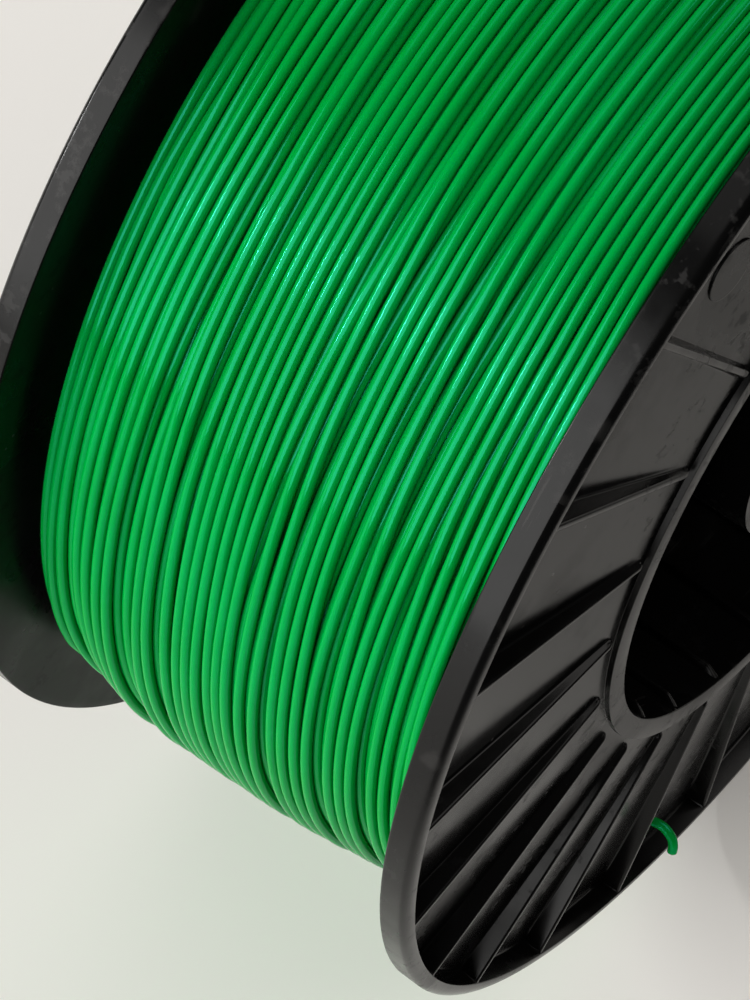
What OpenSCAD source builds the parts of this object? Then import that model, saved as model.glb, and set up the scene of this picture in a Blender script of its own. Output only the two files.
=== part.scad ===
// Filament spool, wound with one length of filament.
// Two ribbed flanges plug into the ends of a barrel. Their spigots press two hub plates
// against a land inside the barrel, and the plates carry the arbor tube that a spindle fills.
// The spool stands on its rims. Its axis is Y, the near flange faces -Y, +Z is up, and the
// origin is the centre of the bore. All sizes are in millimetres.

/* [Flanges] */
// Outside diameter of both flanges
flange_d = 220; // [200:1:300]
// Clear width between the flanges' inner faces
flange_gap = 76.8; // [56:0.1:120]
// Thickness of a flange at its rim
rim_t = 4.7; // [4:0.1:8]
// Radial width of the rim's end face
rim_lip = 2.5; // [2:0.1:6]
// Height of the large rounding from the rim's end face to its outer wall
rim_crown = 1.2; // [0.2:0.1:2.5]
// Slope of the rim's inner wall, from its lip down to the web
rim_draft = 0.3; // [0:0.1:0.6]
// Rounding of the rim's edge beside the winding
rim_round = 0.45; // [0.2:0.05:0.8]
// Thickness of the web where it meets the hub ring
web_t_hub = 3.7; // [2:0.1:4.2]
// Thickness of the web where it meets the rim
web_t_rim = 1; // [0.9:0.1:3]
// Angle of the seam of a flange's turned body, between two ribs
seam_angle = 9.26; // [9:0.02:10.5]

/* [Flange ribs] */
// Number of radial ribs on a flange
rib_count = 24; // [12:1:40]
// Angle of the first rib above the +X axis, in degrees
rib_phase = 2.6; // [0:0.1:29]
// Thickness of a rib at its crest
rib_t = 1.2; // [0.8:0.1:2]
// Thickness that the draft adds to a rib at its root
rib_draft = 0.5; // [0:0.1:1]
// Depth of a rib's crest below the hub ring's face
rib_setback = 0.2; // [0:0.1:0.5]
// Chamfer along both edges of a rib's crest
rib_chamfer = 0.35; // [0.05:0.05:0.35]

/* [Hub ring and spigot] */
// Inside diameter of the hub ring and its spigot
ring_d = 114.4; // [100:0.1:130]
// Radial thickness of the hub ring, which is as wide as the barrel outside
ring_wall = 3.8; // [3.2:0.1:6]
// Length of the spigot that plugs into the barrel
spigot_len = 25; // [10:0.5:26]
// Radial clearance between spigot and barrel
spigot_fit = 0.1; // [0.05:0.05:0.3]
// Height of the small ribs inside the hub ring
inner_rib_h = 1.2; // [0.6:0.1:2]
// Thickness of the small ribs inside the hub ring
inner_rib_t = 1.3; // [0.8:0.1:2]
// Length of the sloped lead-in at the mouth of the small ribs
inner_rib_lead = 2.8; // [1:0.1:5]
// Distance of the small ribs' ends from the hub ring's face and from the spigot's end
inner_rib_setback = 0.5; // [0.2:0.1:2]

/* [Barrel] */
// Wall of the barrel where the spigots plug in
barrel_wall = 1.6; // [1.2:0.1:2]
// Height of the land inside the barrel, which the hub plates rest against
land_h = 1.6; // [1:0.1:3]
// Length of the land inside the barrel
land_len = 12; // [4:0.5:14]

/* [Hub plates and arbor tube] */
// Diameter of the bore that a spindle goes through
bore_d = 45; // [40:0.5:58]
// Wall of the arbor tube
arbor_wall = 1.5; // [1.2:0.1:3]
// Depth of the arbor tube's ends below the hub rings' faces
arbor_setback = 1.9; // [0.5:0.1:6]
// Thickness of a hub plate
plate_t = 2.2; // [1.5:0.1:3]
// Wall of the rim and of the boss of a hub plate
plate_wall = 2; // [1.5:0.1:3]
// Height of the boss that holds the arbor tube
boss_h = 12; // [8:0.5:16]
// Number of gussets on a hub plate
gusset_count = 8; // [4:1:12]
// Thickness of a gusset
gusset_t = 1.6; // [1.2:0.1:3]
// Step from the top of a gusset up to the boss and the rim it joins
gusset_step = 1; // [0.6:0.1:2]
// Radial clearance of the hub plates in the barrel and on the arbor tube
plate_fit = 0.05; // [0.02:0.01:0.2]

/* [Filament] */
// Diameter of the filament
filament_d = 1.75; // [1.5:0.05:3]
// Depth of the winding's surface below the flanges' edges
wind_inset = 7.4; // [6:0.1:20]
// Drop of the winding's surface from its middle to the flanges
side_drop = 5; // [0:0.5:6]
// Depth of the outer turns, which are modelled strand by strand
outer_depth = 8; // [8:0.5:12]
// Pitch of the outer turns over the filament's diameter
turn_pitch = 1.02; // [1:0.01:1.2]
// Gap between the outer turns and the near flange
near_gap = 2.6; // [2:0.1:4]
// Gap between the outer turns and the far flange
far_gap = 2; // [1:0.1:4]
// Clearance of the wound filament to the barrel and the flanges
wind_fit = 0.05; // [0.02:0.01:0.2]

/* [Filament end] */
// Diameter of the hole that the filament's end is pushed through
end_hole_d = 4.6; // [3.6:0.1:6]
// Depth of that hole's centre below the winding's highest turns
end_hole_drop = 3.8; // [1:0.1:8]
// Angle of that hole above the +X axis, in degrees
end_hole_angle = 248.3; // [0:0.1:360]

/* [Blank mould mark] */
// Diameter of the plain round pad on each flange's web
mark_d = 9.6; // [4:0.1:10]
// Height of the pad above the web
mark_h = 0.25; // [0.1:0.05:0.6]
// Depth of the pad's centre below the flange's edge
mark_inset = 18.7; // [8:0.1:30]
// Angle of the pad above the +X axis, in degrees
mark_angle = 115.1; // [0:0.1:360]

/* [Hidden] */
$fn = 96;

plastic = [0.10, 0.10, 0.10];
green = [0.02, 0.55, 0.30];

flange_r = flange_d / 2;
half_gap = flange_gap / 2;
face_z = half_gap + rim_t;                        // plane of lips, ribs and hub rings
ring_r = ring_d / 2;
barrel_r = ring_r + ring_wall;                    // the barrel is flush with the hub rings
barrel_in_r = barrel_r - barrel_wall;
spigot_r = barrel_in_r - spigot_fit;
spigot_end = half_gap - spigot_len;
rim_in_r = flange_r - rim_lip;
crown_start = 0.28;                               // flat share of the rim's end face
rib_embed = 0.6;                                  // ribs start this high, inside the web
overshoot = 1;                                    // cutters run past a face by this much
arbor_r = bore_d / 2 + arbor_wall;
arbor_half = face_z - arbor_setback;
plate_r = barrel_in_r - plate_fit;
plate_rim_h = spigot_end - land_len / 2 - plate_fit;
wound_r = flange_r - wind_inset;
core_r = wound_r - outer_depth;
turn_r = filament_d / 2;
pitch = filament_d * turn_pitch;
outer_width = flange_gap - near_gap - far_gap;
turns = floor((outer_width - filament_d) / pitch) + 1;
turn_step = (outer_width - filament_d) / (turns - 1);
end_hole_r = wound_r - end_hole_drop;

// Height of the web's outer side at a radius. It falls evenly from the hub ring to the rim.
function web_z(r) = half_gap + lookup(r, [[barrel_r, web_t_hub], [rim_in_r - rim_draft, web_t_rim]]);

// The filament's end, as places along it: [distance beyond the hole's radius, degrees from
// the hole, height above the flange's inner face], with both lengths in filament diameters. It
// leaves the groove beside the winding, turns through the hole and curls outwards.
end_route = [
    [-0.69, -16, -0.74], [-0.57, -14, -0.74], [-0.46, -12, -0.74], [-0.34, -10, -0.74],
    [-0.23, -8, -0.74], [-0.11, -6, -0.74], [-0.06, -4, -0.69], [0, -2.4, -0.46],
    [0, -1.2, 0.06], [0, -0.4, 0.8], [0, 0, 1.6], [0.17, 0.2, 2.4],
    [0.57, 0.3, 3.09], [1.14, 0.4, 3.6], [1.83, 0.4, 3.94], [2.51, 0.4, 4.06]
];
end_sides = 10;
end_side_way = [0.3, 0.2, 1];                     // these two set where the tube's corners start
end_side_lift = 0.6;

// Turns a sub-part, made about +Z, so that its +Z end faces the near side.
module to_near_side() { rotate([90, 0, 0]) children(); }

// The same sub-part turned end for end about the vertical, for the far side.
module to_far_side() { rotate([0, 0, 180]) to_near_side() children(); }

// Copies the children round the axis.
module around(count, phase = 0) {
    for (i = [0 : count - 1]) rotate([0, 0, phase + i * 360 / count]) children();
}

// Section of the flange from the spigot's end to the rim. The rim's end face is flat beside its
// inner edge and rounds off from there to the outer wall.
module flange_section() {
    flat_r = rim_in_r + rim_lip * crown_start;
    polygon(concat(
        [[ring_r, spigot_end], [spigot_r, spigot_end], [spigot_r, half_gap],
         [flange_r - rim_round, half_gap], [flange_r, half_gap + rim_round]],
        [for (a = [0 : 22.5 : 90])
            [flat_r + (flange_r - flat_r) * cos(a), face_z - rim_crown * (1 - sin(a))]],
        [[rim_in_r, face_z], [rim_in_r - rim_draft, web_z(rim_in_r - rim_draft)],
         [barrel_r, web_z(barrel_r)], [barrel_r, face_z], [ring_r, face_z]]
    ));
}

// One radial rib on the web, with a drafted section and its crest just below the hub ring's face.
module flange_rib() {
    crest = rib_t / 2;
    root = crest + rib_draft / 2;
    top = face_z - rib_setback;
    start = barrel_r - ring_wall / 2;
    translate([start, 0, 0]) rotate([90, 0, 90])
        linear_extrude(height = rim_in_r + rim_lip * crown_start / 2 - start)
            polygon([
                [-root, half_gap + rib_embed], [root, half_gap + rib_embed],
                [crest, top - rib_chamfer], [crest - rib_chamfer, top],
                [rib_chamfer - crest, top], [-crest, top - rib_chamfer]
            ]);
}

// One small rib inside the hub ring and the spigot, with a sloped lead-in at its mouth.
module inner_rib() {
    mouth = face_z - inner_rib_setback;
    tail = spigot_end + inner_rib_setback;
    crest = ring_r - inner_rib_h;
    back = ring_r + (spigot_r - ring_r) / 2;
    rotate([90, 0, 0]) linear_extrude(height = inner_rib_t, center = true)
        polygon([
            [back, tail], [crest, tail], [crest, mouth - inner_rib_lead],
            [ring_r, mouth], [back, mouth]
        ]);
}

// The plain round pad on the web. It stands its height proud of the web at its inner side.
module mark_pad() {
    centre = flange_r - mark_inset;
    top = web_z(centre - mark_d / 2) + mark_h;
    rotate([0, 0, mark_angle]) translate([centre, 0, half_gap + rib_embed])
        cylinder(d = mark_d, h = top - half_gap - rib_embed, $fn = 48);
}

// A flange: web, rim, hub ring, spigot and ribs in one moulding.
module flange() {
    difference() {
        union() {
            rotate([0, 0, seam_angle]) rotate_extrude($fn = 180) flange_section();
            around(rib_count, rib_phase) flange_rib();
            around(rib_count, rib_phase) inner_rib();
            mark_pad();
        }
        rotate([0, 0, end_hole_angle]) translate([end_hole_r, 0, half_gap - overshoot])
            cylinder(d = end_hole_d, h = rim_t + 2 * overshoot, $fn = 48);
    }
}

module near_flange() { color(plastic) to_near_side() flange(); }

module far_flange() { color(plastic) to_far_side() flange(); }

// The barrel that carries the winding, with the land inside it.
module barrel() {
    land_r = barrel_in_r - land_h;
    color(plastic) to_near_side() rotate_extrude($fn = 180) polygon([
        [barrel_in_r, -half_gap], [barrel_r, -half_gap], [barrel_r, half_gap],
        [barrel_in_r, half_gap], [barrel_in_r, land_len / 2], [land_r, land_len / 2],
        [land_r, -land_len / 2], [barrel_in_r, -land_len / 2]
    ]);
}

// The tube through the middle, whose bore turns on a spindle.
module arbor_tube() {
    color(plastic) to_near_side() translate([0, 0, -arbor_half]) difference() {
        cylinder(r = arbor_r, h = 2 * arbor_half, $fn = 120);
        translate([0, 0, -overshoot]) cylinder(d = bore_d, h = 2 * (arbor_half + overshoot), $fn = 120);
    }
}

// One gusset between a hub plate's boss and its rim, a step lower than both.
module gusset() {
    inner = arbor_r + plate_fit + plate_wall / 2;
    outer = plate_r - plate_wall / 2;
    rotate([90, 0, 0]) linear_extrude(height = gusset_t, center = true)
        polygon([
            [inner, plate_t / 2], [outer, plate_t / 2],
            [outer, plate_rim_h - gusset_step], [inner, boss_h - gusset_step]
        ]);
}

// A hub plate: a disc with a rim that fits the barrel and a boss that fits the arbor tube.
module hub_plate() {
    hole_r = arbor_r + plate_fit;
    translate([0, 0, land_len / 2]) {
        rotate_extrude($fn = 120) polygon([
            [hole_r, 0], [plate_r, 0], [plate_r, plate_rim_h], [plate_r - plate_wall, plate_rim_h],
            [plate_r - plate_wall, plate_t], [hole_r + plate_wall, plate_t],
            [hole_r + plate_wall, boss_h], [hole_r, boss_h]
        ]);
        around(gusset_count, 180 / gusset_count) gusset();
    }
}

module near_hub_plate() { color(plastic) to_near_side() hub_plate(); }

module far_hub_plate() { color(plastic) to_far_side() hub_plate(); }

// The lower turns, as one ring that fills the space above the barrel.
module inner_winding() {
    width = flange_gap - 2 * wind_fit;
    color(green) to_near_side() translate([0, 0, -width / 2]) difference() {
        cylinder(r = core_r, h = width, $fn = 180);
        translate([0, 0, -overshoot])
            cylinder(r = barrel_r + wind_fit, h = width + 2 * overshoot, $fn = 180);
    }
}

// Outline of one outer turn. The turns lie lower the nearer they are to a flange.
function turn_outline(i) =
    let (along = -half_gap + far_gap + turn_r + i * turn_step,
         centre = wound_r - turn_r - side_drop * pow(abs(along) / half_gap, 3))
    [for (a = [150 : -40 : 30]) [centre + turn_r * sin(a), along + turn_r * cos(a)]];

// The outer turns, side by side over the lower ones.
module outer_winding() {
    start = -half_gap + far_gap;
    color(green) to_near_side() rotate_extrude($fn = 180) polygon(concat(
        [[core_r + wind_fit, start + outer_width], [core_r + wind_fit, start]],
        [for (i = [0 : turns - 1]) each turn_outline(i)]
    ));
}

// A place on the filament's end, in the flange's own frame.
function end_point(p) = [
    (end_hole_r + filament_d * p[0]) * cos(end_hole_angle + p[1]),
    (end_hole_r + filament_d * p[0]) * sin(end_hole_angle + p[1]),
    half_gap + filament_d * p[2]
];

// Sweeps a circle along a route: one ring of points for each place on it.
function unit(v) = v / norm(v);
function tangent(path, i) =
    unit(path[min(i + 1, len(path) - 1)] - path[max(i - 1, 0)]);
function ring_points(centre, t, radius, sides, side_way) =
    let (u = unit(side_way - (side_way * t) * t), v = cross(t, u))
    [for (k = [0 : sides - 1]) centre + radius * (cos(k * 360 / sides) * u + sin(k * 360 / sides) * v)];

module swept_tube(path, radius, sides, side_way) {
    rings = len(path);
    points = [for (i = [0 : rings - 1])
        each ring_points(path[i], tangent(path, i), radius, sides, side_way)];
    walls = [for (i = [0 : rings - 2], k = [0 : sides - 1])
        let (a = i * sides + k, b = i * sides + (k + 1) % sides)
        [a, a + sides, b + sides, b]];
    first = [for (k = [0 : sides - 1]) k];
    last = [for (k = [sides - 1 : -1 : 0]) (rings - 1) * sides + k];
    polyhedron(points, concat([first], walls, [last]), convexity = 4);
}

// The loose end of the filament, from the groove through the hole to its cut tip.
module filament_end() {
    path = [for (p = end_route) end_point(p)];
    outward = [cos(end_hole_angle + 90), sin(end_hole_angle + 90), end_side_lift];
    color(green) to_near_side() swept_tube(path, turn_r, end_sides, cross(outward, end_side_way));
}

near_flange();
far_flange();
barrel();
arbor_tube();
near_hub_plate();
far_hub_plate();
inner_winding();
outer_winding();
filament_end();
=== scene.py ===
"""Looks of a filament spool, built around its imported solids.

The two ribbed flanges and the wound filament are meshes made here. The barrel, the arbor tube
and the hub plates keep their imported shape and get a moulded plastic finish.
"""
import logging
import math
from dataclasses import dataclass, field
from enum import Enum

import bmesh
import bpy
import numpy as np
from mathutils import Matrix, Vector


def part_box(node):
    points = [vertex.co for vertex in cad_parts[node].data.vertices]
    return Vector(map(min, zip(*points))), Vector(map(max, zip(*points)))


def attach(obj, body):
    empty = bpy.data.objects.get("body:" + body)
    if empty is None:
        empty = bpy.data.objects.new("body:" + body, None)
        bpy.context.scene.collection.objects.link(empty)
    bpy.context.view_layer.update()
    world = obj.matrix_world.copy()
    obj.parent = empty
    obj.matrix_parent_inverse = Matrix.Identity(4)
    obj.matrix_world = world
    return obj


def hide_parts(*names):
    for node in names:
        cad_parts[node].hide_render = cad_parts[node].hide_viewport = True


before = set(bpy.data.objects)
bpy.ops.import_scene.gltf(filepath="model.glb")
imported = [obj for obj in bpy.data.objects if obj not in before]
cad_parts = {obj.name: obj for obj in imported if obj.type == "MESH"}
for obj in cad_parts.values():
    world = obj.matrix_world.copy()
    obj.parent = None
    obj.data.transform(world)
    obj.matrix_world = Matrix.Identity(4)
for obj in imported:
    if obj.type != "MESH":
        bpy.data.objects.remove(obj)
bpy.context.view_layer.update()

MM = 0.001
QUARTER = tuple(math.radians(turn) for turn in (0, 30, 60, 90))
LOG = logging.getLogger("spool")
Triple = tuple[float, float, float]


# ---- Sizes and small helpers ----

@dataclass(frozen=True)
class SpoolSizes:
    """Main sizes of the spool in millimetres, read from the frame's boxes."""

    flange_r: float
    half_gap: float
    face: float
    spigot_end: float
    barrel_r: float
    wound_r: float

    @classmethod
    def from_frame(cls) -> "SpoolSizes":
        """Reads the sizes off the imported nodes.

        Returns:
            The sizes that the looks are fitted to.
        """
        flange_low, flange_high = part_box("near_flange")
        _, barrel_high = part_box("barrel")
        _, outer_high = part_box("outer_winding")
        return cls(
            flange_r=max(flange_high.x, flange_high.z) / MM,
            half_gap=barrel_high.y / MM,
            face=-flange_low.y / MM,
            spigot_end=-flange_high.y / MM,
            barrel_r=max(barrel_high.x, barrel_high.z) / MM,
            wound_r=max(outer_high.x, outer_high.z) / MM,
        )


class Side(Enum):
    """Which end of the spool a flange is on."""

    NEAR = "near"
    FAR = "far"


def to_row(points: np.ndarray, side: Side) -> np.ndarray:
    """Carries points from a sub-part's own frame, with its axis along +Z, into the row frame.

    Args:
        points: Places as rows of x, y, z in millimetres, +Z towards the spool's end.
        side: The end of the spool that +Z faces.

    Returns:
        The same places in the row frame, in metres.
    """
    turned = np.stack([points[:, 0], -points[:, 2], points[:, 1]], axis=1)
    if side is Side.FAR:
        turned[:, :2] *= -1.0
    return turned * MM


def polar(radius: np.ndarray, angle: np.ndarray, height: np.ndarray) -> np.ndarray:
    """Places from radius, angle in radians and height, as rows of x, y, z."""
    radius, angle, height = np.broadcast_arrays(radius, angle, height)
    return np.stack(
        [(radius * np.cos(angle)).ravel(), (radius * np.sin(angle)).ravel(), height.ravel()], axis=1
    )


def spun(x: np.ndarray, y: np.ndarray, z: np.ndarray, turn: float) -> np.ndarray:
    """Places turned about the axis by an angle in radians, as rows of x, y, z."""
    c, s = math.cos(turn), math.sin(turn)
    return np.stack([(x * c - y * s).ravel(), (x * s + y * c).ravel(), z.ravel()], axis=1)


def bend(radius: float, height: float, across: float, up: float) -> list[tuple[float, float]]:
    """Radii and heights of a quarter turn, from `up` beside a radius to `across` beside a height."""
    return [(radius + across * (1 - math.cos(t)), height + up * (1 - math.sin(t))) for t in QUARTER]


def cubic_step(a: np.ndarray, b: np.ndarray, c: np.ndarray, d: np.ndarray, t: float) -> np.ndarray:
    """The smooth way from b to c at a share t, led by a before and d after."""
    return b + 0.5 * t * (c - a + t * (2 * a - 5 * b + 4 * c - d + t * (3 * (b - c) + d - a)))


def grid_quads(rows: int, columns: int) -> np.ndarray:
    """Quads that join rows of points, each row running back to its own start.

    Args:
        rows: Number of rows of points.
        columns: Number of points in a row.

    Returns:
        Rows of four point indices.
    """
    row, column = np.meshgrid(np.arange(rows - 1), np.arange(columns), indexing="ij")
    a = row * columns + column
    b = row * columns + (column + 1) % columns
    return np.stack([a, b, b + columns, a + columns], axis=-1).reshape(-1, 4)


def capped_quads(rows: int, columns: int) -> np.ndarray:
    """Quads that join closed rows of points and shut the first row and the last.

    Args:
        rows: Number of rows of points.
        columns: Number of points in a row.

    Returns:
        Rows of four point indices. With an odd number of columns, the quad in the middle of each
        end names one point twice.
    """
    caps = [[start + k, start + k + 1, start + columns - k - 2, start + columns - k - 1]
            for start in (0, (rows - 1) * columns) for k in range((columns - 1) // 2)]
    return np.vstack([grid_quads(rows, columns), np.array(caps)])


def linked(name: str, data: bpy.types.ID) -> bpy.types.Object:
    """Makes an object of some data and links it to the scene.

    Args:
        name: The object's name.
        data: Its mesh, lamp or camera.

    Returns:
        The linked object.
    """
    made = bpy.data.objects.new(name, data)
    bpy.context.scene.collection.objects.link(made)
    return made


def mesh_object(name: str, points: np.ndarray, quads: np.ndarray, material: bpy.types.Material,
                weld: float = 0.0, sharp_deg: float = 40.0) -> bpy.types.Object:
    """Makes a mesh object with outward normals and smooth shading.

    Args:
        name: Name of the piece.
        points: Places in metres, in the row frame.
        quads: Rows of four point indices. A quad that names a point twice becomes a triangle.
        material: The piece's finish.
        weld: Points closer than this many metres are joined.
        sharp_deg: Edges that turn more than this many degrees stay sharp.

    Returns:
        The linked object.
    """
    mesh = bpy.data.meshes.new(name)
    mesh.from_pydata(points.tolist(), [], [list(dict.fromkeys(quad)) for quad in quads.tolist()])
    tidy = bmesh.new()
    tidy.from_mesh(mesh)
    if weld > 0:
        bmesh.ops.remove_doubles(tidy, verts=tidy.verts, dist=weld)
        bmesh.ops.dissolve_degenerate(tidy, edges=tidy.edges, dist=weld * 0.5)
    bmesh.ops.recalc_face_normals(tidy, faces=tidy.faces)
    tidy.to_mesh(mesh)
    tidy.free()
    mesh.materials.append(material)
    mesh.shade_smooth()
    mesh.set_sharp_from_angle(angle=math.radians(sharp_deg))
    return linked(name, mesh)


def smooth_noise(count: int, knots: int, rng: np.random.Generator) -> np.ndarray:
    """Smooth random values of about unit size along a line, from cubic steps between knots.

    Args:
        count: Number of values.
        knots: Number of random values that they run through.
        rng: Source of the random values.

    Returns:
        The values in order.
    """
    values = rng.normal(size=knots + 4)
    at = np.linspace(1.0, knots, count)
    cell = np.floor(at).astype(int)
    t = at - cell
    a, b, c, d = (values[cell + k] for k in (-1, 0, 1, 2))
    return cubic_step(a, b, c, d, t)


# ---- Finishes ----

class NodeSheet:
    """Places nodes in a tree and joins them."""

    def __init__(self, tree: bpy.types.NodeTree) -> None:
        """Takes the tree that the nodes go into."""
        self.tree = tree

    def add(self, kind: str, inputs: dict | None = None, **settings: object) -> bpy.types.Node:
        """Adds a node.

        Args:
            kind: The node's type, such as ShaderNodeTexNoise.
            inputs: Input names or numbers, each with a value or with a socket to join.
            **settings: Properties of the node.

        Returns:
            The node.
        """
        node = self.tree.nodes.new(kind)
        for name, value in settings.items():
            setattr(node, name, value)
        for name, value in (inputs or {}).items():
            if isinstance(value, bpy.types.NodeSocket):
                self.tree.links.new(value, node.inputs[name])
            else:
                node.inputs[name].default_value = value
        return node

    def math(self, operation: str, a: object, b: object) -> object:
        """Joins two values with an arithmetic node and returns its output."""
        return self.add("ShaderNodeMath", {0: a, 1: b}, operation=operation).outputs[0]

    def times(self, a: object, b: object) -> object:
        """Multiplies two values and returns the output."""
        return self.math("MULTIPLY", a, b)

    def noise(self, vector: object, scale: object, detail: float, roughness: float = 0.5,
              output: str = "Fac") -> object:
        """Adds a noise texture and returns one of its outputs."""
        return self.add("ShaderNodeTexNoise", {
            "Vector": vector, "Scale": scale, "Detail": detail, "Roughness": roughness,
        }).outputs[output]

    def picked(self, cells: bpy.types.Node, channel: int, share: object) -> object:
        """Picks a share of a texture's cells by one channel of their colour: 1 if picked, else 0."""
        colour = self.add("ShaderNodeSeparateColor", {0: cells.outputs["Color"]})
        return self.math("LESS_THAN", colour.outputs[channel], share)

    def spread(self, value: object, low: object, high: object, to_low: float = 0.0,
               to_high: float = 1.0) -> object:
        """Maps a range of values smoothly onto another and returns the output."""
        node = self.add("ShaderNodeMapRange", {
            "Value": value, "From Min": low, "From Max": high, "To Min": to_low, "To Max": to_high,
        }, interpolation_type="SMOOTHSTEP")
        return node.outputs["Result"]

    def blend(self, factor: object, a: object, b: object) -> object:
        """Blends two colours and returns the output."""
        return self.add("ShaderNodeMix", {"Factor": factor, 6: a, 7: b}, data_type="RGBA").outputs[2]

    def give(self, leave: bpy.types.Node, outputs: dict[str, object]) -> None:
        """Joins values to a group's outputs by name."""
        for name, value in outputs.items():
            self.tree.links.new(value, leave.inputs[name])


def new_group(name: str, inputs: dict[str, object],
              outputs: tuple[str, ...]) -> tuple[bpy.types.NodeTree, NodeSheet, dict, object]:
    """Starts a shader node group with named sockets and a Vector input.

    Args:
        name: Name of the group.
        inputs: Names and default values of the other inputs, each a number or three numbers.
        outputs: Names of the outputs, each a number.

    Returns:
        The group, its sheet, its input sockets by name, and its output node.
    """
    group = bpy.data.node_groups.new(name, "ShaderNodeTree")
    for socket, value in {"Vector": (0, 0, 0), **inputs}.items():
        kind = "NodeSocketVector" if isinstance(value, tuple) else "NodeSocketFloat"
        made = group.interface.new_socket(name=socket, in_out="INPUT", socket_type=kind)
        made.default_value = value
    for socket in outputs:
        group.interface.new_socket(name=socket, in_out="OUTPUT", socket_type="NodeSocketFloat")
    sheet = NodeSheet(group)
    entry = sheet.add("NodeGroupInput")
    leave = sheet.add("NodeGroupOutput")
    return group, sheet, {s.name: s for s in entry.outputs if s.name}, leave


def new_material(name: str) -> tuple[bpy.types.Material, NodeSheet, bpy.types.Node, object]:
    """Starts a material on the object's own coordinates.

    Args:
        name: The material's name.

    Returns:
        The material, its sheet, its shader and the socket of its coordinates.
    """
    material = bpy.data.materials.new(name)
    material.use_nodes = True
    sheet = NodeSheet(material.node_tree)
    shader = material.node_tree.nodes["Principled BSDF"]
    return material, sheet, shader, sheet.add("ShaderNodeTexCoord").outputs["Object"]


def place_group(sheet: NodeSheet, group: bpy.types.NodeTree, inputs: dict) -> bpy.types.Node:
    """Puts a group into a material with the material's own values."""
    return sheet.add("ShaderNodeGroup", inputs, node_tree=group)


def mould_grain_group() -> bpy.types.NodeTree:
    """Fine grain and soft flow marks of moulded plastic.

    Returns:
        A group with a Height for bump and a Gloss mask for roughness.
    """
    group, sheet, given, leave = new_group(
        "mould_grain", {"Grain Scale": 900.0, "Flow Scale": 45.0}, ("Height", "Gloss"))
    grain = sheet.noise(given["Vector"], given["Grain Scale"], 2.0)
    flow = sheet.noise(given["Vector"], given["Flow Scale"], 4.0, 0.6)
    height = sheet.math("ADD", sheet.times(grain, 0.35), sheet.times(flow, 0.65))
    sheet.give(leave, {"Height": height, "Gloss": sheet.spread(flow, 0.35, 0.7)})
    return group


def scratch_group() -> bpy.types.NodeTree:
    """Thin scratches along one way of a surface, broken up by a patch mask.

    Returns:
        A group with a Mask that is 1 in a scratch.
    """
    group, sheet, given, leave = new_group(
        "fine_scratches", {"Stretch": (30, 900, 30), "Threshold": 0.68, "Patch Scale": 60.0}, ("Mask",))
    pulled = sheet.add("ShaderNodeVectorMath", {0: given["Vector"], 1: given["Stretch"]},
                       operation="MULTIPLY")
    lines = sheet.noise(pulled.outputs[0], 1.0, 2.0)
    patch = sheet.noise(given["Vector"], given["Patch Scale"], 1.0)
    line = sheet.spread(lines, given["Threshold"], sheet.math("ADD", given["Threshold"], 0.05))
    sheet.give(leave, {"Mask": sheet.times(line, sheet.spread(patch, 0.48, 0.6))})
    return group


def scuff_group() -> bpy.types.NodeTree:
    """Small rubbed marks and pits, each with a dull patch and a rim.

    Returns:
        A group with a Mask for colour and roughness and a Height for bump.
    """
    group, sheet, given, leave = new_group("small_scuffs", {"Scale": 160.0, "Share": 0.2},
                                           ("Mask", "Height"))
    bent = sheet.noise(given["Vector"], 220.0, 2.0, output="Color")
    moved = sheet.add("ShaderNodeVectorMath", {0: bent, 1: (0.006, 0.006, 0.006)}, operation="MULTIPLY")
    at = sheet.add("ShaderNodeVectorMath", {0: given["Vector"], 1: moved.outputs[0]}, operation="ADD")
    cells = sheet.add("ShaderNodeTexVoronoi", {
        "Vector": at.outputs[0], "Scale": given["Scale"], "Randomness": 1.0}, feature="F1")
    spot = sheet.spread(cells.outputs["Distance"], 0.12, 0.38, 1.0, 0.0)
    mask = sheet.times(sheet.picked(cells, 0, given["Share"]), spot)
    sheet.give(leave, {"Mask": mask, "Height": sheet.times(mask, -1.0)})
    return group


def dust_group() -> bpy.types.NodeTree:
    """Sparse specks of dust.

    Returns:
        A group with a Mask that is 1 on a speck.
    """
    group, sheet, given, leave = new_group("dust_specks", {"Scale": 420.0, "Share": 0.02}, ("Mask",))
    cells = sheet.add("ShaderNodeTexVoronoi", {"Vector": given["Vector"], "Scale": given["Scale"]})
    speck = sheet.spread(cells.outputs["Distance"], 0.05, 0.2, 1.0, 0.0)
    sheet.give(leave, {"Mask": sheet.times(sheet.picked(cells, 1, given["Share"]), speck)})
    return group


def blotch_group() -> bpy.types.NodeTree:
    """Dull blotches with uneven edges, where the surface was handled or pressed.

    Returns:
        A group with a Mask that is 1 inside a blotch.
    """
    group, sheet, given, leave = new_group("dull_blotches", {"Scale": 330.0, "Patch Scale": 38.0},
                                           ("Mask",))
    spots = sheet.noise(given["Vector"], given["Scale"], 3.0, 0.62)
    patch = sheet.noise(given["Vector"], given["Patch Scale"], 2.0)
    mask = sheet.times(sheet.spread(spots, 0.54, 0.66), sheet.spread(patch, 0.42, 0.6))
    sheet.give(leave, {"Mask": mask})
    return group


@dataclass(frozen=True)
class SharedEffects:
    """The node groups that more than one finish uses."""

    grain: bpy.types.NodeTree
    scratches: bpy.types.NodeTree
    scuffs: bpy.types.NodeTree
    dust: bpy.types.NodeTree
    blotches: bpy.types.NodeTree

    @classmethod
    def build(cls) -> "SharedEffects":
        """Builds each group once."""
        return cls(mould_grain_group(), scratch_group(), scuff_group(), dust_group(), blotch_group())


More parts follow.
